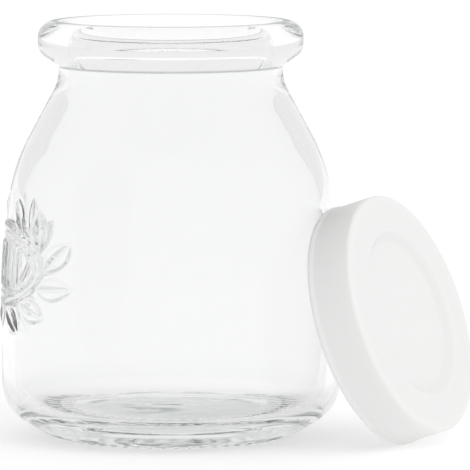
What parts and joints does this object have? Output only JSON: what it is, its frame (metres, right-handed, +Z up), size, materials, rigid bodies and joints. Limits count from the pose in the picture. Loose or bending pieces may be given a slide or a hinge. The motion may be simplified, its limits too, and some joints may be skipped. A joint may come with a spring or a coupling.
{
  "type": "glass yogurt jar",
  "caption": "Empty clear glass yogurt jar with a rolled bead round its mouth and low relief on one side, and its white plastic cap leaning against it.",
  "frame": {"origin": "bottom centre of the box round the jar and its leaning cap; the jar stands at the left, the cap leans at the right and front", "axes": "+Z up, +X from the jar towards the leaning cap, +Y to the back; the front is -Y"},
  "size_m": [0.0982, 0.0728, 0.0863],
  "materials": {
    "glass": "clear polished soda glass, faintly green where thick",
    "cap_plastic": "satin white polyethylene"
  },
  "bodies": {
    "root": {"jar": "glass", "cap": "cap_plastic"}
  },
  "joints": []
}
